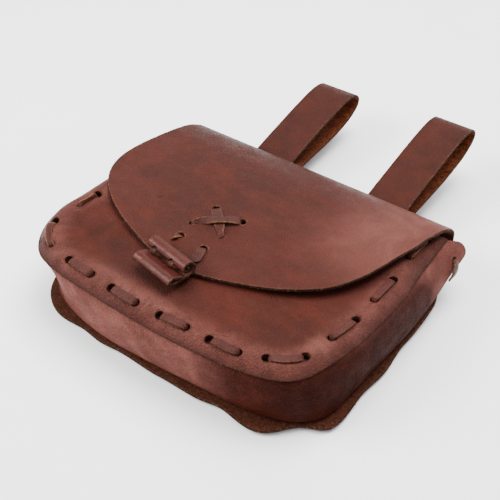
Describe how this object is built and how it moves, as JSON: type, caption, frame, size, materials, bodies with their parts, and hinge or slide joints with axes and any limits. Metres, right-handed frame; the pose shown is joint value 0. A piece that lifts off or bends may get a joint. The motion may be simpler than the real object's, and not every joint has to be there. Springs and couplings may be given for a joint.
{
  "type": "leather waist bag",
  "caption": "Reddish-brown leather waist bag laid on its back: hide back and flap in one, laced gusset and puffed front panel, belt loops behind the top and a rolled leather toggle.",
  "frame": {"origin": "on the surface the bag lies on, under the middle of its bounding box", "axes": "+X across the bag towards its right end, +Y towards the fold and the belt loops, +Z out of its front"},
  "size_m": [0.243, 0.3102, 0.0686],
  "materials": {
    "body_leather": "semi-matte waxed grain, mottled reddish brown, rust-coloured flesh side and dark cut edges",
    "loop_leather": "semi-matte, a little darker and redder",
    "lacing_thong": "soft satin thong with tan raw edges",
    "toggle_leather": "semi-matte rolled strip with dark cut edges"
  },
  "bodies": {
    "root": {"back_flap": "body_leather", "front_panel": "body_leather", "gusset": "body_leather", "front_lace": "lacing_thong", "rear_lace": "lacing_thong", "belt_loop_left": "loop_leather", "loop_tie_left": "lacing_thong", "belt_loop_right": "loop_leather", "loop_tie_right": "lacing_thong", "cross_strip_under": "lacing_thong", "cross_strip_over": "lacing_thong", "toggle": "toggle_leather", "toggle_thong": "lacing_thong", "toggle_thong_end": "lacing_thong"}
  },
  "joints": []
}
